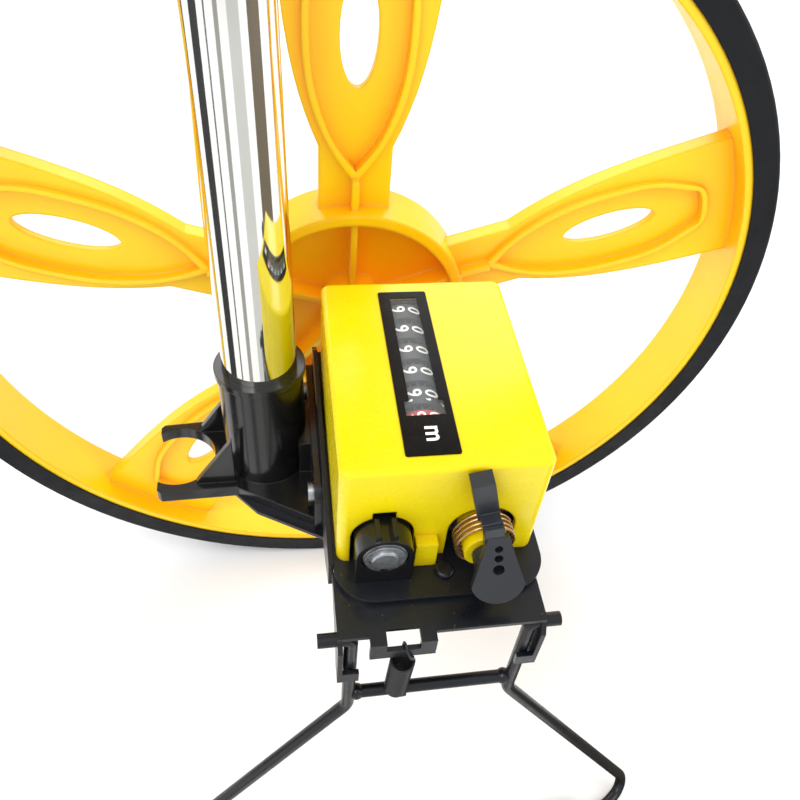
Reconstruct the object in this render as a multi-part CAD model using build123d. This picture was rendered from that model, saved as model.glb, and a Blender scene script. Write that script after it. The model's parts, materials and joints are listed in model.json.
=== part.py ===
from build123d import *
import math
import os

# Measuring wheel: one turn of the wheel is one metre. Sizes in millimetres.
# X points to the wheel's right, Y along the axle from the counter to the wheel, Z up.
# The parts are drawn about the axle and moved to the ground at the end.

# Wheel
WHEEL_R = 1000 / (2 * math.pi)
TYRE_IN_R = 149.6
TYRE_W = 24.4
RIM_IN_R = 146.6
SPOKES = 5
SPOKE_Y0 = 9.0
SPOKE_Y1 = 15.0
HUB_R = 42.3
HUB_IN_R = 38.2
BOSS_R = 11.0

# Axle and reset shaft
AXLE_R = 4.1
AXLE_FRONT = -104.8
AXLE_REAR = 34.0
RUNNING = 0.05
RESET_X = 29.5
RESET_R = 3.0
HOLES = [(2.7, 1.15), (-0.4, 1.25), (-4.2, 1.7)]

# Counter housing
BOX_X0 = -13.0
BOX_X1 = 47.2
BOX_Y0 = -95.8
BOX_Y1 = -16.9
BOX_Z0 = -12.5
BOX_Z1 = 29.2
WALL = 2.0

# Counter mechanism
DRUM_X = 13.0
DRUM_Z = 18.3
DRUM_R = 8.8
DRUM_W = 6.6
DRUM_PITCH = 9.27
DRUM_FIRST_Y = -75.5
DRUMS = 6
TRAIN_TEETH = 16
IDLER_TEETH = 12
RING_TEETH = 20
RING_MODULE = 0.71
PINION_TEETH = 8
PINION_ANGLE = -20.0
SHAFT_R = 1.2
PINION_SHAFT_R = 0.7

# Steel plates
PLATE_X0 = -14.0
PLATE_X1 = 49.5
PLATE_Y0 = -110.0
PLATE_T = 2.0
SHEET_T = 1.5

# Pole, holder and fold joint
POLE_R = 12.0
TUBE_WALL = 0.7
POLE = Plane(origin=(-33.5, -35.8, 0), x_dir=(1, 0, 0.017), z_dir=(-0.017, 0.09, 1))
SOCKET_R = 13.85
WEB_Z0 = -34.0
WEB_Z1 = -30.0
CLIP_X = -63.6
CLIP_Y = -38.6
CLIP_IN_R = 12.5
FOLD_H = 345.0
FOLD_X = -15.2
UPPER_TUBE_TOP = 470.0
GRIP_FROM = 392.0
GRIP_TO = 475.0
GRIP_R = 14.5

# Stand
WIRE_R = 2.1
PIN_Y = -117.6
PIN_Z = -18.0
LEG_L = -10.4
LEG_R = 42.8
BAR_Z = -54.0
FOOT_L = -78.0
FOOT_R = 110.5
FOOT_Z = -WHEEL_R + WIRE_R
BASE_Y = -135.0

parts = {}


def front(y):
    """Drawing plane at y, seen from the counter side: local x is X, local y is Z."""
    return Plane(origin=(0, y, 0), x_dir=(1, 0, 0), z_dir=(0, -1, 0))


def slab(sketch, y0, y1, turn=0):
    """Sketch drawn in X and Z, filled from y0 (front) to y1 (rear)."""
    return extrude(front(y1) * (Rot(0, 0, turn) * sketch), y1 - y0)


def ring(r, y0, y1, bore=0, x=0, z=0):
    """Disc or tube along Y."""
    shape = Pos(x, z) * Circle(r)
    if bore:
        shape -= Pos(x, z) * Circle(bore)
    return slab(shape, y0, y1)


def block(x0, x1, y0, y1, z0, z1):
    return Pos((x0 + x1) / 2, (y0 + y1) / 2, (z0 + z1) / 2) * Box(x1 - x0, y1 - y0, z1 - z0)


def tower(sketch, z0, z1):
    """Sketch drawn in X and Y, filled from z0 up to z1."""
    return extrude(Plane.XY.offset(z0) * sketch, z1 - z0)


def on_pole(shape):
    return POLE * shape


def tube(r, z0, z1, bore=0, x=0, y=0):
    """Disc or tube along the pole, in the pole's own frame."""
    shape = Circle(r)
    if bore:
        shape -= Circle(bore)
    return Pos(x, y, z0) * extrude(shape, z1 - z0)


def polar(r, degrees):
    return (r * math.cos(math.radians(degrees)), r * math.sin(math.radians(degrees)))


def gear_outline(teeth, module, first, add, ded, slack):
    """Involute gear with a tooth centred at angle first; slack is the gap left between flanks."""
    pitch_r = module * teeth / 2
    base_r = pitch_r * math.cos(math.radians(20))
    roll = math.tan(math.radians(20)) - math.radians(20)
    half = math.pi / (2 * teeth) - slack / (4 * pitch_r)
    radii = [pitch_r - ded, max(base_r, pitch_r - ded + 0.05)]
    radii += [pitch_r - 0.15, pitch_r + add * 0.4, pitch_r + add]
    points = []
    for k in range(teeth):
        centre = math.radians(first) + 2 * math.pi * k / teeth
        flank = []
        for r in radii:
            a = math.acos(min(1.0, base_r / r))
            spread = half + roll - (math.tan(a) - a)
            flank.append((r, spread))
        for r, spread in flank:
            points.append((r * math.cos(centre - spread), r * math.sin(centre - spread)))
        for r, spread in reversed(flank):
            points.append((r * math.cos(centre + spread), r * math.sin(centre + spread)))
    return make_face(Polyline(points, close=True))


def wire(path, r):
    """Round wire along a path."""
    start = path @ 0
    return sweep(Plane(origin=start, z_dir=path % 0) * Circle(r), path)


# ---- wheel -------------------------------------------------------------------
def leaf(inset):
    """Leaf outline round a spoke's hole, drawn along the spoke."""
    top = [(56, 0), (65, 6.6), (76, 11.2), (90, 14.2), (105, 14.8), (120, 12.8), (130, 8.4), (134, 0)]
    moved = []
    for k, (r, v) in enumerate(top):
        shift = 0
        if k == 0:
            shift = -2.2 * inset
        elif k == len(top) - 1:
            shift = 1.2 * inset
        moved.append((r + shift, v + (inset * 1.15 if 0 < k < len(top) - 1 else 0)))
    upper = Spline(moved, tangents=[(1, 0.85), (0, -1)])
    return make_face([upper, mirror(upper, Plane.XZ)])


def spoke_outline():
    flank = Spline(
        [(64, 12), (73, 15.4), (83, 18.4), (98, 21.4), (116, 23.4), (RIM_IN_R + 1, 25)],
        tangents=[(1, 0.42), (1, 0.05)],
    )
    neck = Line((HUB_IN_R, 12), (64, 12))
    inner = Line((HUB_IN_R, -12), (HUB_IN_R, 12))
    outer = Line((RIM_IN_R + 1, 25), (RIM_IN_R + 1, -25))
    return make_face([inner, neck, flank, outer, mirror(flank, Plane.XZ), mirror(neck, Plane.XZ)])


def make_spoke():
    """The top spoke: a flat leaf with a thin window round its hole and ridges on both faces."""
    body = slab(spoke_outline(), SPOKE_Y0, SPOKE_Y1, 90)
    body += slab(leaf(2.0), SPOKE_Y0 - 2, SPOKE_Y1 + 2, 90)
    body -= slab(leaf(0), SPOKE_Y0 - 3, SPOKE_Y0 + 1.6, 90)
    body -= slab(leaf(0), SPOKE_Y1 - 1.6, SPOKE_Y1 + 3, 90)
    body -= slab(Pos(100, 0) * Ellipse(17.2, 5.8), SPOKE_Y0 - 4, SPOKE_Y1 + 4, 90)
    return body + slab(Pos(45.8, 0) * Rectangle(15.5, 2.6), SPOKE_Y0 - 4, SPOKE_Y1 + 4, 90)


def make_wheel():
    body = ring(HUB_R, 2, 21, HUB_IN_R) + ring(HUB_IN_R + 1, 12, 15) + ring(BOSS_R, 0, 24)
    for k in range(SPOKES):
        body += slab(Pos(25, 0) * Rectangle(28, 2.2), 4, 20, 90 + 72 * k)
    body += ring(TYRE_IN_R, 0.6, TYRE_W - 0.6, RIM_IN_R)
    spoke = make_spoke()
    for k in range(SPOKES):
        body += Rot(0, -72 * k, 0) * spoke
    body -= ring(AXLE_R, -1, 30)
    parts["wheel_moulding"] = body

    tyre = ring(WHEEL_R, 0, TYRE_W, TYRE_IN_R)
    rims = tyre.edges().filter_by(GeomType.CIRCLE).group_by(lambda e: round(e.radius, 2))[-1]
    parts["tyre"] = fillet(rims, 1.4)


def make_axle():
    axle = ring(AXLE_R, AXLE_FRONT, AXLE_REAR)
    ends = axle.edges().filter_by(GeomType.CIRCLE)
    parts["axle"] = chamfer(ends, 0.5)
    parts["axle_clip"] = ring(5.9, -104.0, -103.3, AXLE_R) - block(-1.2, 1.2, -105, -103, -7, -4)
    parts["axle_washer"] = ring(6.4, -103.2, -102.7, AXLE_R)
    parts["axle_spacer"] = ring(6.2, -5.6, 0, AXLE_R)
    parts["rear_washer"] = ring(9.0, 24, 25.4, AXLE_R)
    parts["axle_nut"] = slab(RegularPolygon(7.5, 6) - Circle(AXLE_R), 25.4, 31.9)


# ---- counter mechanism ---------------------------------------------------------
TRAIN_MODULE = math.hypot(DRUM_X, DRUM_Z) / (TRAIN_TEETH + IDLER_TEETH)
TRAIN_ANGLE = math.degrees(math.atan2(DRUM_Z, DRUM_X))
IDLER_X = DRUM_X / 2
IDLER_Z = DRUM_Z / 2
TRAIN_Y0 = -84.4
TRAIN_Y1 = -81.6
PINION_D = RING_MODULE * (RING_TEETH + PINION_TEETH) / 2
PINION_X = DRUM_X + polar(PINION_D, PINION_ANGLE)[0]
PINION_Z = DRUM_Z + polar(PINION_D, PINION_ANGLE)[1]
FRONT_PLATE_Y = -88.0
REAR_PLATE_Y = -22.4


def make_train():
    add = 0.8 * TRAIN_MODULE
    ded = 1.2 * TRAIN_MODULE
    driver = gear_outline(TRAIN_TEETH, TRAIN_MODULE, TRAIN_ANGLE, add, ded, 0.5)
    parts["axle_gear"] = slab(driver - Circle(AXLE_R), TRAIN_Y0, TRAIN_Y1)

    step = 360 / IDLER_TEETH
    outline = gear_outline(IDLER_TEETH, TRAIN_MODULE, TRAIN_ANGLE + step / 2, add, ded, 0.5)
    outline = Pos(IDLER_X, IDLER_Z) * (outline - Circle(SHAFT_R + RUNNING))
    parts["idler_gear"] = slab(outline, TRAIN_Y0, TRAIN_Y1)
    parts["idler_stud"] = ring(SHAFT_R, FRONT_PLATE_Y, TRAIN_Y1 + 0.8, 0, IDLER_X, IDLER_Z)

    driven = gear_outline(TRAIN_TEETH, TRAIN_MODULE, TRAIN_ANGLE + 180, add, ded, 0.5)
    driven = Pos(DRUM_X, DRUM_Z) * (driven - Circle(SHAFT_R + RUNNING))
    parts["input_gear"] = slab(driven, TRAIN_Y0, -79.2)


def make_drums():
    for k in range(DRUMS):
        y = DRUM_FIRST_Y + k * DRUM_PITCH
        rim = ring(DRUM_R, y - DRUM_W / 2, y + DRUM_W / 2, SHAFT_R + RUNNING, DRUM_X, DRUM_Z)
        dish = ring(DRUM_R - 1.4, y - DRUM_W / 2, y - DRUM_W / 2 + 1.2, 3.0, DRUM_X, DRUM_Z)
        drum = rim - dish
        if k == 0:
            drum += ring(3.0, -79.2, y - DRUM_W / 2 + 1.2, SHAFT_R + RUNNING, DRUM_X, DRUM_Z)
        else:
            y0 = y - DRUM_W / 2 - 2.0
            teeth = gear_outline(RING_TEETH, RING_MODULE, PINION_ANGLE, 0.4, 0.75, 0.45)
            teeth = Pos(DRUM_X, DRUM_Z) * (teeth - Circle(SHAFT_R + RUNNING))
            drum += slab(teeth, y0, y - DRUM_W / 2 + 0.1)
        parts["drum_%d" % (k + 1)] = drum
    for k in range(DRUMS - 1):
        y0 = DRUM_FIRST_Y + (k + 1) * DRUM_PITCH - DRUM_W / 2 - 2.1
        first = PINION_ANGLE + 180 + 180 / PINION_TEETH
        outline = gear_outline(PINION_TEETH, RING_MODULE, first, 0.45, 0.65, 0.45)
        outline = Pos(PINION_X, PINION_Z) * (outline - Circle(PINION_SHAFT_R + RUNNING))
        parts["transfer_pinion_%d" % (k + 1)] = slab(outline, y0, y0 + 1.6)
    parts["drum_shaft"] = ring(SHAFT_R, FRONT_PLATE_Y, REAR_PLATE_Y + 1, 0, DRUM_X, DRUM_Z)
    parts["pinion_shaft"] = ring(PINION_SHAFT_R, FRONT_PLATE_Y, REAR_PLATE_Y + 1, 0, PINION_X, PINION_Z)


def end_plate(y0, y1, foot_y0, foot_y1):
    outline = Pos(15.5, 6.3) * RectangleRounded(49, 37.6, 3)
    plate = slab(outline, y0, y1) + block(-7, 38, foot_y0, foot_y1, BOX_Z0, BOX_Z0 + 1)
    plate -= ring(AXLE_R + 0.9, y0 - 1, y1 + 1)
    plate -= ring(RESET_R + RUNNING, y0 - 1, y1 + 1, 0, RESET_X, 0)
    plate -= ring(SHAFT_R, y0 - 1, y1 + 1, 0, DRUM_X, DRUM_Z)
    plate -= ring(PINION_SHAFT_R, y0 - 1, y1 + 1, 0, PINION_X, PINION_Z)
    for x, z in TIES:
        plate -= ring(1.5, y0 - 1, y1 + 1, 0, x, z)
    return plate


TIES = [(-5, 20), (36, 20), (16, -8)]


def make_chassis():
    front_plate = end_plate(FRONT_PLATE_Y, FRONT_PLATE_Y + 1, FRONT_PLATE_Y, FRONT_PLATE_Y + 5)
    front_plate -= ring(SHAFT_R, FRONT_PLATE_Y - 1, FRONT_PLATE_Y + 2, 0, IDLER_X, IDLER_Z)
    parts["counter_front_plate"] = front_plate
    rear_foot = REAR_PLATE_Y - 4
    parts["counter_rear_plate"] = end_plate(REAR_PLATE_Y, REAR_PLATE_Y + 1, rear_foot, REAR_PLATE_Y + 1)
    rods = []
    for x, z in TIES:
        rod = ring(1.5, FRONT_PLATE_Y, REAR_PLATE_Y + 1, 0, x, z)
        rod += ring(2.4, FRONT_PLATE_Y + 1, REAR_PLATE_Y, 0, x, z)
        rods.append(rod)
    parts["tie_rods"] = Compound(children=rods)


# ---- housing and window ----------------------------------------------------------
def arch(r, x, y0, y1):
    shape = Pos(x, 0) * Circle(r) + Pos(x, -8) * Rectangle(2 * r, 16)
    return slab(shape, y0, y1)


def make_housing():
    box = block(BOX_X0, BOX_X1, BOX_Y0, BOX_Y1, BOX_Z0, BOX_Z1)
    box = fillet(box.edges().filter_by(Axis.Z), 3.0)
    box = fillet(box.faces().sort_by(Axis.Z)[-1].edges(), 1.4)
    inside = block(
        BOX_X0 + WALL, BOX_X1 - WALL, BOX_Y0 + WALL, BOX_Y1 - WALL, BOX_Z0 - 1, BOX_Z1 - WALL
    )
    inside = fillet(inside.edges().filter_by(Axis.Z), 1.5)
    box -= inside
    box -= arch(9.3, 0, BOX_Y0 - 1, BOX_Y0 + WALL + 1)
    box -= block(-3.3, 3.5, BOX_Y0 - 1, BOX_Y0 + WALL + 1, 5, 11.3)
    box -= arch(10.2, RESET_X, BOX_Y0 - 1, BOX_Y0 + WALL + 1)
    box -= arch(9.3, 0, BOX_Y1 - WALL - 1, BOX_Y1 + 1)
    box -= block(6.4, 19.6, -77.4, -24.0, BOX_Z1 - WALL - 1, BOX_Z1 + 1)
    box += block(9.7, 16.3, BOX_Y0 - 3.7, BOX_Y0, BOX_Z0, -1.6)
    parts["housing"] = box

    label = Pos(13.05, -56.55) * RectangleRounded(15.7, 68.3, 0.8)
    label -= Pos(13.25, -48.0) * Rectangle(8.7, 45.0)
    label -= Pos(13.15, -73.35) * Rectangle(11.5, 5.7)
    parts["window_mask"] = tower(label, BOX_Z1, BOX_Z1 + 0.3)
    parts["window_lens"] = block(6.4, 19.6, -77.4, -24.0, BOX_Z1 - 1.1, BOX_Z1)


# ---- bearings and plates -----------------------------------------------------------
def make_bearings():
    body = ring(8.3, -103.5, -88.4) + block(-8.3, 8.3, -103.5, -88.4, BOX_Z0, 0)
    body += block(-3.0, -1.6, -103.0, -97.0, 7.0, 10.4)
    body += block(1.8, 3.2, -103.0, -97.0, 7.0, 10.4)
    body -= ring(AXLE_R + RUNNING, -110, -80)
    body -= ring(6.8, -104, -102.4)
    parts["front_bearing"] = body
    rear = ring(8.3, -21.0, -6.0) + block(-8.3, 8.3, -21.0, -6.0, BOX_Z0, 0)
    parts["rear_bearing"] = rear - ring(AXLE_R + RUNNING, -25, 0)


SCREWS = [(18.6, -101.9), (-6.0, -78.0), (38.0, -78.0)]
REAR_SCREWS = [(-6.0, -40.0), (-6.0, -55.0)]


def make_plates():
    depth = -6.0 - PLATE_Y0
    middle = (PLATE_X0 + PLATE_X1) / 2
    sheet = Pos(middle, (PLATE_Y0 - 6.0) / 2) * Rectangle(PLATE_X1 - PLATE_X0, depth)
    corners = sheet.vertices().group_by(Axis.Y)[0]
    sheet = fillet(corners, 12)
    plate = tower(sheet, BOX_Z0 - PLATE_T, BOX_Z0)
    for x, y in SCREWS + REAR_SCREWS:
        plate -= tower(Pos(x, y) * Circle(1.6), -20, -10)
    parts["base_plate"] = plate

    screws = []
    for x, y in SCREWS + REAR_SCREWS:
        screw = tower(Pos(x, y) * Circle(1.6), -18.6, BOX_Z0)
        head = tower(Pos(x, y) * Circle(2.9), BOX_Z0, BOX_Z0 + 1.8)
        head = fillet(head.edges().group_by(Axis.Z)[-1], 1.0)
        screw += head
        screw += tower(Pos(x, y) * RegularPolygon(3.4, 6), -18.4, -16.0)
        screws.append(screw)
    parts["base_screws"] = Compound(children=screws)

    outline = Polyline(
        [(-10, -35.5), (-74, -35.5), (-81, -32.5), (-97, -23), (-97, -12), (-17, -1), (-10, -6)],
        close=True,
    )
    side = Plane(origin=(-15.5, 0, 0), x_dir=(0, 1, 0), z_dir=(1, 0, 0)) * make_face(outline)
    bracket = extrude(side, SHEET_T)
    foot = Polyline([(-14, -74), (-37, -61), (-45, -52), (-45, -24), (-14, -10)], close=True)
    bracket += tower(make_face(foot), -35.5, -34.0)
    bracket += block(-14.2, 4, -66, -26, -16.0, -14.5)
    for x, y in REAR_SCREWS:
        bracket -= tower(Pos(x, y) * Circle(1.6), -20, -10)
    for y in HOLDER_SCREWS:
        bracket -= cross_rod(1.7, -17, -12, y, -23)
    parts["side_bracket"] = bracket


HOLDER_SCREWS = [-62.0, -16.0]


def cross_rod(r, x0, x1, y, z):
    """Rod along X."""
    plane = Plane(origin=(x0, y, z), x_dir=(0, 1, 0), z_dir=(1, 0, 0))
    return extrude(plane * Circle(r), x1 - x0)


# ---- pole holder --------------------------------------------------------------------
def make_holder():
    foot = Polyline(
        [(-15.5, -69.5), (-44.0, -53.0), (-50, -50), (-52, -44), (-52, -33), (-50, -27), (-44, -24), (-15.5, -8)],
        close=True,
    )
    body = tower(make_face(foot), WEB_Z0, WEB_Z1)
    arms = Polyline(
        [(-43.0, -53.6), (-68.8, -54.2), (-70.0, -53.0), (-70.3, -25.4), (-69.1, -24.2), (-46.0, -22.7), (-43.0, -25.0)],
        close=True,
    )
    clip = make_face(arms) - Pos(CLIP_X, CLIP_Y) * Circle(CLIP_IN_R)
    clip -= Pos(CLIP_X - 10.0, CLIP_Y) * Rectangle(20, 21.2)
    body += tower(clip, WEB_Z0, WEB_Z1 + 1.0)
    body -= tower(Pos(CLIP_X, CLIP_Y) * Circle(CLIP_IN_R), WEB_Z0 - 1, WEB_Z1 + 2)

    body += on_pole(tube(SOCKET_R, WEB_Z0 + 2, 11.5))
    body += on_pole(tube(14.7, 9.2, 11.5))
    flange = Plane(origin=(-18, 0, 0), x_dir=(0, 1, 0), z_dir=(1, 0, 0))
    flange *= Pos(-39, -24) * RectangleRounded(62, 20, 5)
    body += extrude(flange, 2.5)
    body += block(-18, -15.5, -70, -8, WEB_Z0, -25)
    body += block(-22, -16, -48, -30, WEB_Z0, -15)
    for sign in (1, -1):
        rib = Polyline([(-44, -32), (-57, -32), (-57, -28.5), (-44, -8)], close=True)
        plane = Plane(origin=(0, CLIP_Y + sign * 11.5 + 1.1, 0), x_dir=(1, 0, 0), z_dir=(0, -1, 0))
        body += extrude(plane * make_face(rib), 2.2)
    body -= tower(Pos(CLIP_X, CLIP_Y) * Circle(CLIP_IN_R), WEB_Z0 - 1, 0)
    body -= on_pole(tube(POLE_R, WEB_Z1, 30))
    for y in HOLDER_SCREWS:
        body -= cross_rod(1.7, -30, -12, y, -23)
    parts["pole_holder"] = body

    screws = []
    for y in HOLDER_SCREWS:
        screw = cross_rod(1.7, -18, -11.5, y, -23) + cross_rod(3.4, -19.8, -18, y, -23)
        screw += cross_rod(3.2, -14.0, -11.8, y, -23)
        screws.append(screw)
    parts["holder_screws"] = Compound(children=screws)


# ---- reset ----------------------------------------------------------------------------
def make_reset():
    parts["reset_shaft"] = ring(RESET_R, -107.2, REAR_PLATE_Y + 2.4, 0, RESET_X, 0)
    comb = ring(4.4, -80, -25, RESET_R, RESET_X, 0)
    for k in range(DRUMS):
        y = DRUM_FIRST_Y + k * DRUM_PITCH
        finger = Pos(RESET_X, 0) * (Rot(0, 0, 118) * (Pos(8.3, 0) * Rectangle(9, 2.4)))
        comb += slab(finger, y - 1, y + 1)
    parts["reset_comb"] = comb
    parts["reset_bush"] = ring(6.8, -104.0, -88.0, RESET_R + RUNNING, RESET_X, 0)

    blade = Polyline([(-3.6, 27), (3.6, 27), (3.6, 13.6), (2.8, 13.6), (2.9, 8.5), (3.6, 6)])
    blade += Spline([(3.6, 6), (5.2, 0), (7.8, -8.6)], tangents=[(0.2, -1), (0.3, -1)])
    blade += ThreePointArc((7.8, -8.6), (0, -14.6), (-7.8, -8.6))
    blade += Spline([(-7.8, -8.6), (-5.2, 0), (-3.6, 6)], tangents=[(0.3, 1), (0.2, 1)])
    blade += Polyline([(-3.6, 6), (-2.9, 8.5), (-2.8, 13.6), (-3.6, 13.6), (-3.6, 27)])
    outline = make_face(blade)
    lean = Plane(origin=(RESET_X + 1.2, -109.0, 6.0), x_dir=(0.998, 0, 0.06), z_dir=(-0.055, -0.92, 0.39))
    paddle = extrude(lean * (Pos(0, -1.2) * (outline & (Pos(0, -10.3) * Rectangle(30, 36)))), 1.2, both=True)
    for z, r in HOLES:
        paddle -= extrude(lean * (Pos(0, z) * Circle(r)), 4, both=True)
    hub = ring(4.6, -108.3, -104.3, 0, RESET_X, 0)
    neck = slab(Pos(RESET_X + 0.1, 9.6) * (Rot(0, 0, 10) * Rectangle(5.6, 14)), -107.4, -104.3)
    neck += slab(Pos(RESET_X - 1.2, 15.6) * (Rot(0, 0, 14) * Rectangle(5.6, 4.6)), -106.4, -99.0)
    head = slab(Pos(RESET_X - 3.3, 22.6) * (Rot(0, 0, 14) * Rectangle(6.4, 15.6)), -102.8, -97.6)
    lever = hub + neck + head + paddle
    lever -= ring(RESET_R, -107.2, -100, 0, RESET_X, 0)
    parts["reset_lever"] = lever

    turns = 3.5
    height = 5.2
    coil = Helix(height / turns, height, 8.6, center=(0, 0, 0), direction=(0, 0, 1))
    spring = sweep(Plane(origin=coil @ 0, z_dir=coil % 0) * Circle(0.5), coil, is_frenet=True)
    spring = Plane(origin=(RESET_X, -96.4, 0), x_dir=(1, 0, 0), z_dir=(0, -1, 0)) * spring
    parts["reset_spring"] = spring


# ---- stand ----------------------------------------------------------------------------
def make_stand_bracket():
    top = block(-14.5, 46.8, -119.5, -98.0, -16.0, -14.5) + block(-13.9, 46.8, -98.0, -74.0, -16.0, -14.5)
    tab = block(-5.5, 13.7, -122.5, -119.4, -16.0, -14.5) + block(-5.5, 13.7, -122.5, -121.0, -22.5, -15.0)
    slot = block(-0.7, 9.0, -123.5, -117.8, -18.5, -13.0)
    bracket = top + tab - slot
    for x0, hook_x0, hook_x1 in ((-14.5, -14.5, -8.0), (45.3, 40.3, 46.8)):
        side = Polyline(
            [(-98, -16), (-119.5, -16), (-121.6, -20), (-121.6, -38), (-116, -38), (-113, -31), (-98, -19)],
            close=True,
        )
        plane = Plane(origin=(x0, 0, 0), x_dir=(0, 1, 0), z_dir=(1, 0, 0))
        bracket += extrude(plane * make_face(side), SHEET_T)
        bracket += block(hook_x0, hook_x1, -121.6, -120.1, -38.0, -33.0)
    bracket -= cross_rod(WIRE_R + RUNNING, -30, 60, PIN_Y, PIN_Z)
    for x, y in SCREWS:
        bracket -= tower(Pos(x, y) * Circle(1.6), -20, -10)
    parts["stand_bracket"] = bracket


def make_stand():
    y = PIN_Y
    corners = [
        (-20.1, y, PIN_Z),
        (LEG_L, y, PIN_Z),
        (LEG_L, y - 0.6, -62),
        (FOOT_L, -126, FOOT_Z),
        (FOOT_L + 13.5, BASE_Y, FOOT_Z),
        (FOOT_L + 24.5, BASE_Y, FOOT_Z),
        (FOOT_L + 32.5, BASE_Y, FOOT_Z + 9),
        (FOOT_L + 38.5, BASE_Y, FOOT_Z + 9),
        (FOOT_L + 46.5, BASE_Y, FOOT_Z),
        (FOOT_R - 46.5, BASE_Y, FOOT_Z),
        (FOOT_R - 38.5, BASE_Y, FOOT_Z + 9),
        (FOOT_R - 32.5, BASE_Y, FOOT_Z + 9),
        (FOOT_R - 24.5, BASE_Y, FOOT_Z),
        (FOOT_R - 13.5, BASE_Y, FOOT_Z),
        (FOOT_R, -126, FOOT_Z),
        (LEG_R, y - 0.6, -62),
        (LEG_R, y, PIN_Z),
        (51.7, y, PIN_Z),
    ]
    hump = [10, 5, 5, 10]
    radii = dict(enumerate([2.45, 8, 6, 12, *hump, *hump, 12, 6, 8, 2.45], start=1))
    parts["stand_wire"] = wire(rounded(corners, radii), WIRE_R)
    bar = cross_rod(WIRE_R, LEG_L + 1.9, LEG_R - 1.9, y - 0.45, BAR_Z)
    for x in (LEG_L + 2.6, LEG_R - 2.6):
        bar += Pos(x, y - 0.45, BAR_Z) * Sphere(2.6)
    bar -= parts["stand_wire"]
    parts["stand_cross_bar"] = bar


def rounded(corners, radii):
    """Polyline through the corners with an arc of its own radius at each."""
    pts = [Vector(*c) for c in corners]
    edges = []
    here = pts[0]
    for k in range(1, len(pts) - 1):
        before = (pts[k - 1] - pts[k]).normalized()
        after = (pts[k + 1] - pts[k]).normalized()
        half = math.radians(before.get_angle(after)) / 2
        back = radii[k] / math.tan(half)
        start = pts[k] + before * back
        end = pts[k] + after * back
        centre = pts[k] + (before + after).normalized() * (radii[k] / math.sin(half))
        middle = centre + (pts[k] - centre).normalized() * radii[k]
        edges.append(Line(here, start))
        edges.append(ThreePointArc(start, middle, end))
        here = end
    edges.append(Line(here, pts[-1]))
    return Wire(edges)


def make_stand_spring():
    x = 4.4
    y = PIN_Y - 0.45
    lean = Plane(origin=(x, y - 1.1, -50.6), x_dir=(1, 0, 0), z_dir=(0, -0.12, 1))
    turns = 26
    height = 25.0
    coil = Helix(height / turns, height, 3.35, center=(0, 0, 0), direction=(0, 0, 1))
    body = sweep(Plane(origin=coil @ 0, z_dir=coil % 0) * Circle(0.4), coil, is_frenet=True)
    body = lean * body
    low = Spline([(x + 3.35, y - 1.1, -50.6), (x + 2.4, y - 3.0, -55.2), (x, y + 0.2, -57.0), (x - 0.6, y + 2.7, -53.6)])
    high = Spline(
        [
            (x + 3.35, y - 4.1, -25.8),
            (x + 1.8, y - 5.4, -22.0),
            (x + 0.8, y - 5.1, -18.2),
            (x + 0.3, y - 3.7, -17.0),
            (x + 0.1, y - 2.2, -18.3),
            (x, y - 2.1, -20.6),
        ]
    )
    parts["stand_spring"] = Compound(children=[body, wire(Wire(low), 0.4), wire(Wire(high), 0.4)])


# ---- pole -----------------------------------------------------------------------------
def make_pole():
    lower = tube(POLE_R, WEB_Z1 + 0.1, FOLD_H - 9, POLE_R - TUBE_WALL)
    parts["lower_tube"] = on_pole(lower)
    upper = tube(POLE_R, FOLD_H + 9, FOLD_H + UPPER_TUBE_TOP, POLE_R - TUBE_WALL)
    parts["upper_tube"] = on_pole(upper)

    grip = tube(GRIP_R, FOLD_H + GRIP_FROM, FOLD_H + GRIP_TO - 2, POLE_R)
    for k in range(9):
        z = FOLD_H + GRIP_FROM + 8 + k * 8
        grip -= tube(GRIP_R + 1, z, z + 3, GRIP_R - 0.9)
    parts["grip"] = on_pole(grip)
    cap = tube(GRIP_R - 0.6, FOLD_H + GRIP_TO - 2, FOLD_H + GRIP_TO)
    cap += tube(POLE_R - TUBE_WALL, FOLD_H + UPPER_TUBE_TOP - 12, FOLD_H + GRIP_TO - 1)
    cap += tube(POLE_R, FOLD_H + UPPER_TUBE_TOP, FOLD_H + GRIP_TO - 1)
    parts["grip_cap"] = on_pole(cap)


def pivot(r, y0, y1):
    """Disc round the fold pin, in the pole's own frame."""
    plane = Plane(origin=(FOLD_X, y1, FOLD_H), x_dir=(1, 0, 0), z_dir=(0, -1, 0))
    return extrude(plane * Circle(r), y1 - y0)


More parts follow.
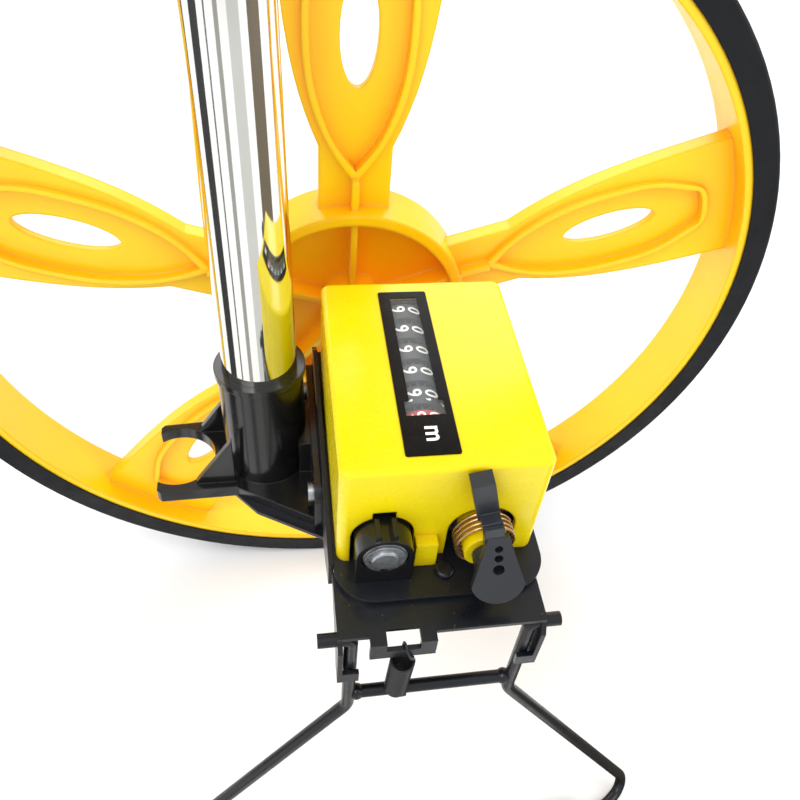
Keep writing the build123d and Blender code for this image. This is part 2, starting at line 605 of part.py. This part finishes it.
def make_fold():
    ears = ((-10.4, -5.0), (5.0, 10.4))
    low = tube(14.5, FOLD_H - 42, FOLD_H - 0.15)
    low -= tube(POLE_R, FOLD_H - 50, FOLD_H - 9)
    for y0, y1 in ears:
        low += pivot(6.4, y0, y1)
        low += block(FOLD_X, -4, y0, y1, FOLD_H - 6.4, FOLD_H - 0.15)
        low += block(FOLD_X + 0.4, -10, y0, y1, FOLD_H - 20, FOLD_H - 3)
    low -= pivot(6.8, -5.0, 5.0)
    low -= pivot(2.5, -12, 12)
    low -= tube(POLE_R, FOLD_H - 50, FOLD_H - 9)
    parts["lower_knuckle"] = on_pole(low)

    high = tube(14.5, FOLD_H + 0.15, FOLD_H + 42)
    for y0, y1 in ears:
        high -= pivot(6.8, y0 - 0.2, y1 + 0.2)
    high += pivot(6.4, -4.8, 4.8)
    high += block(FOLD_X, -4, -4.8, 4.8, FOLD_H + 0.15, FOLD_H + 6.4)
    high -= tube(POLE_R, FOLD_H + 9, FOLD_H + 50)
    high -= pivot(2.5 + RUNNING, -12, 12)
    parts["upper_knuckle"] = on_pole(high)

    bolt = pivot(2.5, -20.4, 10.4) + pivot(4.6, 10.4, 13.4)
    parts["fold_bolt"] = on_pole(bolt)
    knob = pivot(9.0, -19.6, -13.6) + pivot(5.0, -13.8, -10.7)
    for k in range(6):
        x, z = polar(10.6, 60 * k + 30)
        cut = Plane(origin=(FOLD_X + x, 0, FOLD_H + z), x_dir=(1, 0, 0), z_dir=(0, -1, 0))
        knob -= extrude(cut * Circle(3.4), 30)
    knob -= pivot(2.5 + RUNNING, -30, 0)
    parts["fold_knob"] = on_pole(knob)


make_wheel()
make_axle()
make_train()
make_drums()
make_chassis()
make_housing()
make_bearings()
make_plates()
make_holder()
make_reset()
make_stand_bracket()
make_stand()
make_stand_spring()
make_pole()
make_fold()

boxes = [shape.bounding_box() for shape in parts.values()]
y_low = min(b.min.Y for b in boxes)
y_high = max(b.max.Y for b in boxes)
x_low = min(b.min.X for b in boxes)
x_high = max(b.max.X for b in boxes)
SHIFT = (-(x_low + x_high) / 2, -(y_low + y_high) / 2, WHEEL_R)
print("shift", [round(v, 4) for v in SHIFT], "top", round(max(b.max.Z for b in boxes), 2))

os.makedirs("parts", exist_ok=True)
for name, shape in parts.items():
    export_step(Pos(*SHIFT) * shape, "parts/%s.step" % name)
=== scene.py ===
import json
import math

import bpy
from mathutils import Matrix, Vector


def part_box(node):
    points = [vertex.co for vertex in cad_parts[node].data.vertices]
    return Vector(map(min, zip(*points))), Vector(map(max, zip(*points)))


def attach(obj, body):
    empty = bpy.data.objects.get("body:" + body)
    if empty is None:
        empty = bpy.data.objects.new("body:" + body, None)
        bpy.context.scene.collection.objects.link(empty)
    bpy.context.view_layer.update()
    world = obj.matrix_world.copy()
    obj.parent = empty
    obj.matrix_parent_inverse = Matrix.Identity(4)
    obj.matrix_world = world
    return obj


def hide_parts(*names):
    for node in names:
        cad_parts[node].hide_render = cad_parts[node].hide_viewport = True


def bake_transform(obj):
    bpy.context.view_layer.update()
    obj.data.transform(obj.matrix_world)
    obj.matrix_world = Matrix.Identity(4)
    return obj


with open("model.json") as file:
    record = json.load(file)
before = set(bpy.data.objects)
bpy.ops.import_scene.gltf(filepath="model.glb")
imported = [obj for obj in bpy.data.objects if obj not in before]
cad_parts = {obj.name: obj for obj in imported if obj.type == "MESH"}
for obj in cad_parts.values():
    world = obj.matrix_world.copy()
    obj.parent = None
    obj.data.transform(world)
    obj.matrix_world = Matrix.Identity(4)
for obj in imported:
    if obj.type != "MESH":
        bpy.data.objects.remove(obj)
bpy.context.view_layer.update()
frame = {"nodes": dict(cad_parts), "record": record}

MM = 0.001
tyre_low, tyre_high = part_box("tyre")
WHEEL_R = (tyre_high.z - tyre_low.z) / 2
AXLE = Vector(((tyre_low.x + tyre_high.x) / 2, tyre_low.y, WHEEL_R))


def at(x, y, z):
    """A point given in millimetres from the wheel's front centre."""
    return AXLE + Vector((x, y, z)) * MM


def tidy(obj, name, body, mat):
    obj.name = name
    if mat is not None:
        obj.data.materials.clear()
        obj.data.materials.append(mat)
    if body:
        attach(obj, body)
    return obj


# ---- materials -----------------------------------------------------------------
def new_material(name):
    mat = bpy.data.materials.new(name)
    mat.use_nodes = True
    nodes = mat.node_tree.nodes
    nodes.clear()
    out = nodes.new("ShaderNodeOutputMaterial")
    shader = nodes.new("ShaderNodeBsdfPrincipled")
    mat.node_tree.links.new(shader.outputs[0], out.inputs[0])
    return mat, nodes, mat.node_tree.links, shader


def noise(nodes, links, coord, scale, detail=4.0, rough=0.55):
    tex = nodes.new("ShaderNodeTexNoise")
    tex.inputs["Scale"].default_value = scale
    tex.inputs["Detail"].default_value = detail
    tex.inputs["Roughness"].default_value = rough
    links.new(coord, tex.inputs["Vector"])
    return tex.outputs["Fac"]


def remap(nodes, links, value, lo, hi, out_lo, out_hi):
    node = nodes.new("ShaderNodeMapRange")
    node.inputs["From Min"].default_value = lo
    node.inputs["From Max"].default_value = hi
    node.inputs["To Min"].default_value = out_lo
    node.inputs["To Max"].default_value = out_hi
    links.new(value, node.inputs["Value"])
    return node.outputs["Result"]


def blend_colour(nodes, links, factor, a, b):
    mix = nodes.new("ShaderNodeMix")
    mix.data_type = "RGBA"
    links.new(factor, mix.inputs["Factor"])
    for socket, value in ((mix.inputs[6], a), (mix.inputs[7], b)):
        if isinstance(value, tuple):
            socket.default_value = (*value, 1.0)
        else:
            links.new(value, socket)
    return mix.outputs[2]


def surface(
    name, colour, tint=None, rough=0.4, spread=0.06, metal=0.0, coat=0.0, specular=0.5,
    grain=900.0, depth=0.02, edge=0.0, patch=25.0, specks=None, speck_size=900.0,
    shade=None, shade_reach=0.02, glow=0.0, painted_light=0.0,
):
    """A painted, moulded or metal surface: two close tones in soft patches, uneven gloss and fine grain.

    depth and edge are in millimetres. specks adds sparse marks of another colour. The shade tone is painted
    shade: an ambient occlusion mask mixes it into corners and recesses within shade_reach. glow lets light
    spread inside, and the emission strength paints light on, so the surface glows a little though it is no
    lamp.
    """
    mat, nodes, links, shader = new_material(name)
    coord = nodes.new("ShaderNodeTexCoord").outputs["Object"]
    tint = tint or tuple(c * 0.9 for c in colour)
    soft = remap(nodes, links, noise(nodes, links, coord, patch), 0.35, 0.65, 0.0, 1.0)
    tone = blend_colour(nodes, links, soft, colour, tint)
    # Painted shade: ambient occlusion pulls the tone toward the shade colour in corners and recesses.
    if shade:
        corner_occlusion = nodes.new("ShaderNodeAmbientOcclusion")
        corner_occlusion.samples = 8
        corner_occlusion.inputs["Distance"].default_value = shade_reach
        painted_shade_mask = remap(nodes, links, corner_occlusion.outputs["AO"], 0.25, 0.95, 1.0, 0.0)
        tone = blend_colour(nodes, links, painted_shade_mask, tone, shade)
    if specks:
        dots = noise(nodes, links, coord, speck_size, 2.0, 0.5)
        mark = remap(nodes, links, dots, 0.74, 0.78, 0.0, 1.0)
        tone = blend_colour(nodes, links, mark, tone, specks)
    links.new(tone, shader.inputs["Base Color"])
    gloss = noise(nodes, links, coord, patch * 6)
    links.new(
        remap(nodes, links, gloss, 0.3, 0.7, max(rough - spread, 0.02), rough + spread),
        shader.inputs["Roughness"],
    )
    shader.inputs["Metallic"].default_value = metal
    shader.inputs["Specular IOR Level"].default_value = specular
    shader.inputs["Coat Weight"].default_value = coat
    shader.inputs["Coat Roughness"].default_value = 0.12
    # Painted light: emission in the surface's own colour makes it glow though it is no lamp.
    if painted_light:
        shader.inputs["Emission Color"].default_value = (*colour, 1.0)
        shader.inputs["Emission Strength"].default_value = painted_light
    if glow:
        shader.inputs["Subsurface Weight"].default_value = glow
        shader.inputs["Subsurface Radius"].default_value = (1.0, 0.45, 0.05)
        shader.inputs["Subsurface Scale"].default_value = 0.004
    bump = nodes.new("ShaderNodeBump")
    bump.inputs["Strength"].default_value = 1.0
    bump.inputs["Distance"].default_value = depth * MM
    links.new(noise(nodes, links, coord, grain, 3.0), bump.inputs["Height"])
    if edge:
        bevel = nodes.new("ShaderNodeBevel")
        bevel.samples = 6
        bevel.inputs["Radius"].default_value = edge * MM
        links.new(bevel.outputs["Normal"], bump.inputs["Normal"])
    links.new(bump.outputs["Normal"], shader.inputs["Normal"])
    return mat


def glass(name, colour, alpha):
    mat, nodes, links, shader = new_material(name)
    coord = nodes.new("ShaderNodeTexCoord").outputs["Object"]
    shader.inputs["Base Color"].default_value = (*colour, 1.0)
    shader.inputs["Alpha"].default_value = alpha
    shader.inputs["Coat Weight"].default_value = 0.6
    gloss = noise(nodes, links, coord, 220.0)
    links.new(remap(nodes, links, gloss, 0.3, 0.7, 0.05, 0.2), shader.inputs["Roughness"])
    bump = nodes.new("ShaderNodeBump")
    bump.inputs["Distance"].default_value = 0.3 * MM
    links.new(noise(nodes, links, coord, 90.0, 2.0), bump.inputs["Height"])
    links.new(bump.outputs["Normal"], shader.inputs["Normal"])
    return mat


M = {
    # The wheel's orange in its recesses is painted shade, found by ambient occlusion.
    "wheel_moulding": surface(
        "wheel yellow", (1.0, 0.63, 0.0), (1.0, 0.66, 0.001), 0.36, 0.05, edge=1.6, grain=260,
        shade=(1.0, 0.42, 0.0), shade_reach=0.035, glow=0.12, specks=(0.6, 0.3, 0.0), speck_size=1200.0,
    ),
    "tyre": surface(
        "tyre rubber", (0.004, 0.005, 0.007), (0.007, 0.008, 0.011), 0.6, 0.1, specular=0.25,
        edge=0.6, grain=1500, depth=0.05,
    ),
    # The housing's darker corners are painted shade, found by ambient occlusion.
    "housing": surface(
        "counter yellow", (0.87, 0.71, 0.0), (0.85, 0.69, 0.0), 0.27, 0.04, coat=0.15, specular=0.35,
        edge=0.8, grain=700, depth=0.01, shade=(0.75, 0.5, 0.0), shade_reach=0.006,
        specks=(0.25, 0.2, 0.0), speck_size=1500.0,
    ),
    "window_mask": surface(
        "black film", (0.003, 0.003, 0.004), rough=0.3, specular=0.12, grain=300, depth=0.05,
    ),
    "window_lens": glass("clear film", (0.7, 0.75, 0.78), 0.07),
    "drum": surface("drum grey", (0.05, 0.062, 0.072), (0.065, 0.078, 0.088), 0.55, 0.1, grain=1500),
    "red_drum": surface("drum red", (0.62, 0.05, 0.04), (0.5, 0.04, 0.035), 0.5, 0.1, grain=1500),
    # The print glows with a little emission: painted light that keeps the digits bright inside the shaded
    # window.
    "print": surface(
        "white print", (0.95, 0.95, 0.94), (0.9, 0.9, 0.89), rough=0.5, grain=2000, depth=0.01, painted_light=0.35,
    ),
    "black_plastic": surface(
        "black moulded plastic", (0.004, 0.004, 0.005), (0.008, 0.008, 0.009), 0.22, 0.05, coat=0.4,
        specular=0.3, edge=0.7, grain=400, depth=0.05,
    ),
    "black_steel": surface(
        "black painted steel", (0.004, 0.005, 0.008), (0.008, 0.010, 0.014), 0.34, 0.1, coat=0.15,
        specular=0.3, edge=0.4, grain=500, depth=0.06, specks=(0.13, 0.1, 0.09), speck_size=700.0,
    ),
    "plated_steel": surface(
        "zinc plated steel", (0.5, 0.52, 0.54), (0.36, 0.38, 0.4), 0.36, 0.12, metal=1.0,
        edge=0.3, grain=2500, depth=0.06, patch=300.0,
    ),
    "tube": surface(
        "bright tube", (0.8, 0.8, 0.78), (0.74, 0.74, 0.71), 0.06, 0.02, metal=1.0, grain=120,
        depth=0.012, specks=(0.3, 0.27, 0.22), speck_size=1300.0,
    ),
    "white_plastic": surface("white acetal", (0.75, 0.75, 0.7), rough=0.45, grain=1500, depth=0.01),
    "spring_brass": surface(
        "copper washed wire", (0.62, 0.4, 0.2), (0.5, 0.3, 0.15), 0.28, 0.06, metal=1.0,
        grain=3000, depth=0.01,
    ),
    "spring_black": surface(
        "blackened wire", (0.01, 0.01, 0.012), (0.018, 0.018, 0.02), 0.33, 0.08, metal=0.3,
        grain=3000, depth=0.01,
    ),
    "grip": surface("grip rubber", (0.012, 0.012, 0.013), rough=0.75, grain=1800, depth=0.12, edge=0.4),
    "lever": surface(
        "lever plastic", (0.01, 0.013, 0.018), (0.016, 0.02, 0.027), 0.4, 0.06, coat=0.1, edge=0.5,
        grain=900, depth=0.03,
    ),
}

slots = {s["node"]: s["material_slot"] for s in frame["record"]["subparts"]}
for node, obj in frame["nodes"].items():
    obj.data.materials.clear()
    obj.data.materials.append(M[slots[node]])


# ---- printed digits ---------------------------------------------------------------
def glyph(text, size, weight):
    """Flat letter shape as vertices and faces, centred on its own box."""
    curve = bpy.data.curves.new("glyph", "FONT")
    curve.body = text
    curve.size = size
    curve.offset = weight
    curve.resolution_u = 4
    obj = bpy.data.objects.new("glyph", curve)
    bpy.context.scene.collection.objects.link(obj)
    bpy.context.view_layer.update()
    mesh = bpy.data.meshes.new_from_object(obj.evaluated_get(bpy.context.evaluated_depsgraph_get()))
    points = [v.co.copy() for v in mesh.vertices]
    faces = [tuple(p.vertices) for p in mesh.polygons]
    mid_x = (min(p.x for p in points) + max(p.x for p in points)) / 2
    mid_y = (min(p.y for p in points) + max(p.y for p in points)) / 2
    bpy.data.objects.remove(obj)
    return [(p.x - mid_x, p.y - mid_y) for p in points], faces


def solid_print(name, patches, thickness):
    """One closed mesh of flat patches: each is its points, its faces and a function that places them."""
    verts = []
    faces = []
    for points, polys, place in patches:
        base = len(verts)
        count = len(points)
        verts += [place(u, v, 0.0) for u, v in points]
        verts += [place(u, v, thickness) for u, v in points]
        edges = {}
        for poly in polys:
            faces.append(tuple(base + count + i for i in poly))
            faces.append(tuple(base + i for i in reversed(poly)))
            for i, a in enumerate(poly):
                b = poly[(i + 1) % len(poly)]
                edges[(a, b)] = True
        for a, b in edges:
            if (b, a) not in edges:
                faces.append((base + a, base + b, base + count + b, base + count + a))
    mesh = bpy.data.meshes.new(name)
    mesh.from_pydata([tuple(v) for v in verts], [], faces)
    mesh.validate()
    mesh.update()
    obj = bpy.data.objects.new(name, mesh)
    bpy.context.scene.collection.objects.link(obj)
    return obj


DIGIT_SIZE = 6.2 * MM
DIGIT_STROKE = 0.09 * MM
COMMA_STROKE = 0.06 * MM
DRUM_DIGITS = 10
STEP_DEG = 36
NINE_ANGLE = -10.5
FIRST_DRUM_INSET = 1.9
DRUM_INSET = 2.3


def drum_place(centre, radius, y_mid, degrees):
    def place(u, v, height):
        angle = math.radians(degrees) + v / radius
        r = radius + height
        return Vector((centre.x + r * math.sin(angle), y_mid - u, centre.z + r * math.cos(angle)))

    return place


def print_drum(k, body):
    low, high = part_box("drum_%d" % k)
    centre_x = (low.x + high.x) / 2
    centre = Vector((centre_x, 0, (low.z + high.z) / 2))
    radius = (high.x - low.x) / 2 + 0.01 * MM
    y_mid = high.y - (FIRST_DRUM_INSET if k == 1 else DRUM_INSET) * MM
    patches = []
    for digit in range(DRUM_DIGITS):
        points, faces = glyph(str(digit), DIGIT_SIZE, DIGIT_STROKE)
        degrees = NINE_ANGLE + STEP_DEG * ((digit - 9) % DRUM_DIGITS)
        patches.append((points, faces, drum_place(centre, radius, y_mid, degrees)))
        if k == 2:
            points, faces = glyph(",", DIGIT_SIZE, COMMA_STROKE)
            shifted = [(u + 2.7 * MM, v - 1.6 * MM) for u, v in points]
            patches.append((shifted, faces, drum_place(centre, radius, y_mid, degrees)))
    tidy(solid_print("digits_%d" % k, patches, 0.04 * MM), "digits_%d" % k, body, M["print"])


for k in range(1, 7):
    print_drum(k, "drum_wheel_%d" % k)


def print_label():
    low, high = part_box("window_mask")
    top = high.z

    def flat(x, y):
        return lambda u, v, height: Vector((x + v, y - u, top + height))

    middle = at(13.65, -83.1, 0)
    points, faces = glyph("m", 7.6 * MM, 0.12 * MM)
    obj = solid_print("unit_mark", [(points, faces, flat(middle.x, middle.y))], 0.03 * MM)
    tidy(obj, "unit_mark", "frame", M["print"])


print_label()


# ---- springs ------------------------------------------------------------------------
def tube_along(name, points, radius, sides=8):
    curve = bpy.data.curves.new(name, "CURVE")
    curve.dimensions = "3D"
    curve.bevel_depth = radius
    curve.bevel_resolution = sides // 2 - 1
    curve.use_fill_caps = True
    line = curve.splines.new("POLY")
    line.points.add(len(points) - 1)
    for point, place in zip(line.points, points):
        point.co = (*place, 1.0)
    obj = bpy.data.objects.new(name, curve)
    bpy.context.scene.collection.objects.link(obj)
    bpy.context.view_layer.update()
    mesh = bpy.data.meshes.new_from_object(obj.evaluated_get(bpy.context.evaluated_depsgraph_get()))
    bpy.data.objects.remove(obj)
    made = bpy.data.objects.new(name, mesh)
    bpy.context.scene.collection.objects.link(made)
    for poly in mesh.polygons:
        poly.use_smooth = True
    return made


def smooth_path(points, steps=10):
    """Points on a Catmull-Rom curve through the given points."""
    ends = [points[0] * 2 - points[1]] + points + [points[-1] * 2 - points[-2]]
    out = []
    for i in range(1, len(ends) - 2):
        a, b, c, d = ends[i - 1], ends[i], ends[i + 1], ends[i + 2]
        for s in range(steps):
            t = s / steps
            square = 2 * a - 5 * b + 4 * c - d
            cube = 3 * b - 3 * c + d - a
            out.append(0.5 * (2 * b + (c - a) * t + square * t * t + cube * t ** 3))
    out.append(points[-1])
    return out


def coil_points(base, top, radius, turns, start=0.0, per_turn=28):
    axis = (top - base).normalized()
    side = Vector((1, 0, 0))
    other = axis.cross(side).normalized()
    side = other.cross(axis)
    count = int(turns * per_turn)
    points = []
    for i in range(count + 1):
        share = i / count
        angle = start + 2 * math.pi * turns * share
        spoke = side * math.cos(angle) + other * math.sin(angle)
        points.append(base + (top - base) * share + spoke * radius)
    return points


def stand_spring():
    x, y = 4.4, -118.05
    base = at(x, y - 1.1, -50.6)
    top = at(x, y - 4.1, -25.6)
    coil = coil_points(base, top, 3.35 * MM, 26.0)
    low = [
        at(x - 0.6, y + 2.9, -52.6),
        at(x - 0.2, y + 2.2, -56.0),
        at(x + 1.4, y - 1.4, -56.9),
        at(x + 3.0, y - 3.0, -53.6),
    ]
    high = [
        at(x + 3.0, y - 4.8, -24.6),
        at(x + 1.8, y - 5.45, -22.0),
        at(x + 0.8, y - 5.2, -18.3),
        at(x + 0.3, y - 3.7, -17.0),
        at(x + 0.1, y - 2.2, -18.3),
        at(x, y - 2.1, -20.6),
    ]
    path = smooth_path(low, 8) + coil + smooth_path(high, 8)
    obj = tube_along("stand_spring_wire", path, 0.4 * MM)
    tidy(obj, "stand_spring_wire", None, M["spring_black"])
    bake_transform(obj)
    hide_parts("stand_spring")


def reset_spring():
    base = at(29.5, -96.2, 0)
    top = at(29.5, -101.8, 0)
    coil = coil_points(base, top, 8.6 * MM, 3.6, start=0.4)
    obj = tube_along("reset_spring_wire", coil, 0.5 * MM, 10)
    tidy(obj, "reset_spring_wire", None, M["spring_brass"])
    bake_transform(obj)
    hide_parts("reset_spring")


stand_spring()
reset_spring()


# ---- floor, lights, camera --------------------------------------------------------------
def flat_object(name, corners):
    """A single four-cornered face that only stages the scene."""
    mesh = bpy.data.meshes.new(name)
    mesh.from_pydata(corners, [], [(0, 1, 2, 3)])
    obj = bpy.data.objects.new(name, mesh)
    bpy.context.scene.collection.objects.link(obj)
    return obj


def plain_material(name, colour, rough):
    mat, _, _, shader = new_material(name)
    shader.inputs["Base Color"].default_value = (*colour, 1)
    shader.inputs["Roughness"].default_value = rough
    return mat


FLOOR_HALF = 7.0
h = FLOOR_HALF
floor = flat_object("floor", [(-h, -h, 0), (h, -h, 0), (h, h, 0), (-h, h, 0)])
floor.data.materials.append(plain_material("pale floor", (0.92, 0.92, 0.92), 0.7))

# The tube's place beside the axle, and the near and far ends and height of the wedges that paint reflections
# on it, in millimetres.
TUBE_X = -33
TUBE_Y = -36
CARD_NEAR = 110
CARD_FAR = 2200
CARD_Z = -157


def streak_card(name, azimuth, spread, tone):
    """A painted reflection: a wedge on the floor, pointing away from the tube, that only shows in glossy
    reflections, where it lays a streak on the tube.
    """
    corners = []
    for reach, side in ((CARD_NEAR, -1), (CARD_FAR, -1), (CARD_FAR, 1), (CARD_NEAR, 1)):
        angle = math.radians(azimuth + side * spread / 2)
        x = TUBE_X + reach * math.cos(angle)
        y = TUBE_Y + reach * math.sin(angle)
        corners.append(tuple(at(x, y, CARD_Z)))
    card = flat_object(name, corners)
    card.data.materials.append(plain_material(name, tone, 0.8))
    card.visible_camera = False
    card.visible_diffuse = False
    card.visible_shadow = False


# Painted reflections: dark, grey and brownish wedges, hidden from the camera, light and shadows, that lay
# streaks on the bright tube.
streak_card("left card", 192, 22, (0.012, 0.012, 0.014))
streak_card("left edge card", 221, 4, (0.1, 0.1, 0.09))
streak_card("middle card", 247, 10, (0.3, 0.29, 0.27))
streak_card("front card", 284, 26, (0.55, 0.55, 0.53))
streak_card("right card", 330, 30, (0.12, 0.09, 0.05))


def area_light(name, place, target, size, power):
    data = bpy.data.lights.new(name, "AREA")
    data.shape = "RECTANGLE"
    data.size, data.size_y = size
    data.energy = power
    obj = bpy.data.objects.new(name, data)
    bpy.context.scene.collection.objects.link(obj)
    obj.location = place
    obj.rotation_euler = (Vector(target) - Vector(place)).to_track_quat("-Z", "Y").to_euler()


area_light("key", (-0.9, -0.9, 2.2), (0, 0, 0.15), (1.2, 1.2), 24)
area_light("right", (1.8, -0.8, 1.2), (0, 0, 0.15), (0.8, 1.4), 12)
area_light("back", (0.2, 2.0, 1.6), (0, 0, 0.2), (2.0, 1.0), 16)

world = bpy.data.worlds.new("studio")
world.use_nodes = True
bpy.context.scene.world = world
background = world.node_tree.nodes["Background"]
background.inputs["Color"].default_value = (1, 1, 1, 1)
background.inputs["Strength"].default_value = 0.95
bpy.context.scene.view_settings.view_transform = "Standard"

forward = Vector((0.16358, 0.68051, -0.71425)).normalized()
right = Vector((0.98557, -0.14460, 0.08795)).normalized()
up = right.cross(forward).normalized()
cam = bpy.data.cameras.new("camera")
cam.sensor_width = 36.0
cam.lens = 36.1
cam.shift_x = -0.0211
cam.shift_y = -0.0278
cam.clip_start = 0.01
camera = bpy.data.objects.new("camera", cam)
bpy.context.scene.collection.objects.link(camera)
turn = Matrix((right, up, -forward)).transposed().to_4x4()
camera.matrix_world = Matrix.Translation(at(-26.15, -222.54, 198.39)) @ turn
bpy.context.scene.camera = camera
